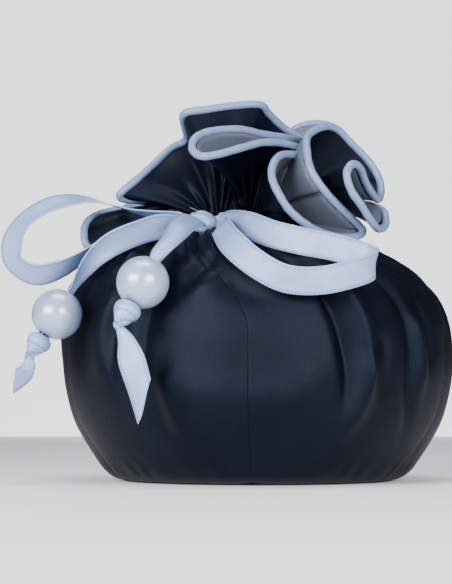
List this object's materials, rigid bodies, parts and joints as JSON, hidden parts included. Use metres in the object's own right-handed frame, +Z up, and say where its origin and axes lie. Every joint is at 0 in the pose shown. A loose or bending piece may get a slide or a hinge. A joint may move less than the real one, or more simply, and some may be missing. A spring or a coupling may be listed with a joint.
{
  "type": "drawstring gift pouch",
  "caption": "Round padded satin gift pouch on a flat base, neck gathered by a ribbon tied in a bow, piped frill above, pearl bead on each ribbon tail",
  "frame": {"origin": "centre of the flat base, on the table plane", "axes": "+Z up through the body; front towards -Y; the bow is at the front left"},
  "size_m": [0.112, 0.1028, 0.0934],
  "materials": {
    "outer_satin": "navy satin, soft sheen",
    "lining_satin": "silver satin, soft sheen",
    "wadding": "white polyester wadding",
    "board": "plain grey-brown board",
    "thread": "navy sewing thread",
    "piping_satin": "silver-blue satin, bright sheen",
    "filler_cord": "white cotton cord",
    "ribbon": "pale silver-blue satin ribbon",
    "pearl": "pearl coat, glossy"
  },
  "bodies": {
    "pouch": {"outer_panel_1": "outer_satin", "outer_panel_2": "outer_satin", "outer_panel_3": "outer_satin", "outer_panel_4": "outer_satin", "outer_panel_5": "outer_satin", "outer_panel_6": "outer_satin", "wadding_panel_1": "wadding", "wadding_panel_2": "wadding", "wadding_panel_3": "wadding", "wadding_panel_4": "wadding", "wadding_panel_5": "wadding", "wadding_panel_6": "wadding", "lining_panel_1": "lining_satin", "lining_panel_2": "lining_satin", "lining_panel_3": "lining_satin", "lining_panel_4": "lining_satin", "lining_panel_5": "lining_satin", "lining_panel_6": "lining_satin", "outer_base": "outer_satin", "base_board": "board", "base_wadding": "wadding", "lining_base": "lining_satin", "casing_stitches_lower": "thread", "casing_stitches_upper": "thread", "piping_cover": "piping_satin", "piping_cord": "filler_cord", "ribbon_in_casing": "ribbon", "bow_knot": "ribbon"},
    "left_loop": {"left_loop": "ribbon"},
    "right_loop": {"right_loop": "ribbon"},
    "left_tail": {"left_tail": "ribbon", "left_stopper_knot": "ribbon"},
    "front_tail": {"front_tail": "ribbon", "front_stopper_knot": "ribbon"},
    "left_pearl": {"left_pearl": "pearl"},
    "front_pearl": {"front_pearl": "pearl"},
    "left_end": {"left_ribbon_end": "ribbon"},
    "front_end": {"front_ribbon_end": "ribbon"}
  },
  "joints": [
    {"name": "left_loop_lift", "type": "hinge", "parent": "pouch", "child": "left_loop", "pos_m": [-0.0194, -0.0173, 0.0625], "axis": [0, 1, 0], "range_deg": [0, 20]},
    {"name": "right_loop_lift", "type": "hinge", "parent": "pouch", "child": "right_loop", "pos_m": [-0.0095, -0.0197, 0.0623], "axis": [-0.5109, -0.3548, -0.783], "range_deg": [0, 20]},
    {"name": "left_tail_lift", "type": "hinge", "parent": "pouch", "child": "left_tail", "pos_m": [-0.0176, -0.0202, 0.0614], "axis": [-0.4156, 0.8524, 0.3174], "range_deg": [0, 35]},
    {"name": "front_tail_lift", "type": "hinge", "parent": "pouch", "child": "front_tail", "pos_m": [-0.0146, -0.021, 0.063], "axis": [-0.8668, 0.4848, -0.1165], "range_deg": [0, 35]},
    {"name": "left_pearl_spin", "type": "hinge", "parent": "left_tail", "child": "left_pearl", "pos_m": [-0.0481, -0.0271, 0.04], "axis": [-0.5097, -0.2039, -0.8359], "continuous": true},
    {"name": "front_pearl_spin", "type": "hinge", "parent": "front_tail", "child": "front_pearl", "pos_m": [-0.0268, -0.0469, 0.046], "axis": [-0.4246, -0.364, -0.829], "continuous": true},
    {"name": "left_end_swing", "type": "hinge", "parent": "left_tail", "child": "left_end", "pos_m": [-0.05468, -0.02973, 0.02922], "axis": [0, -1, 0], "range_deg": [-15, 15], "stiffness_Nm_per_rad": 0.00002},
    {"name": "front_end_swing", "type": "hinge", "parent": "front_tail", "child": "front_end", "pos_m": [-0.03228, -0.0516, 0.03531], "axis": [0, -1, 0], "range_deg": [-15, 15], "stiffness_Nm_per_rad": 0.00002}
  ]
}
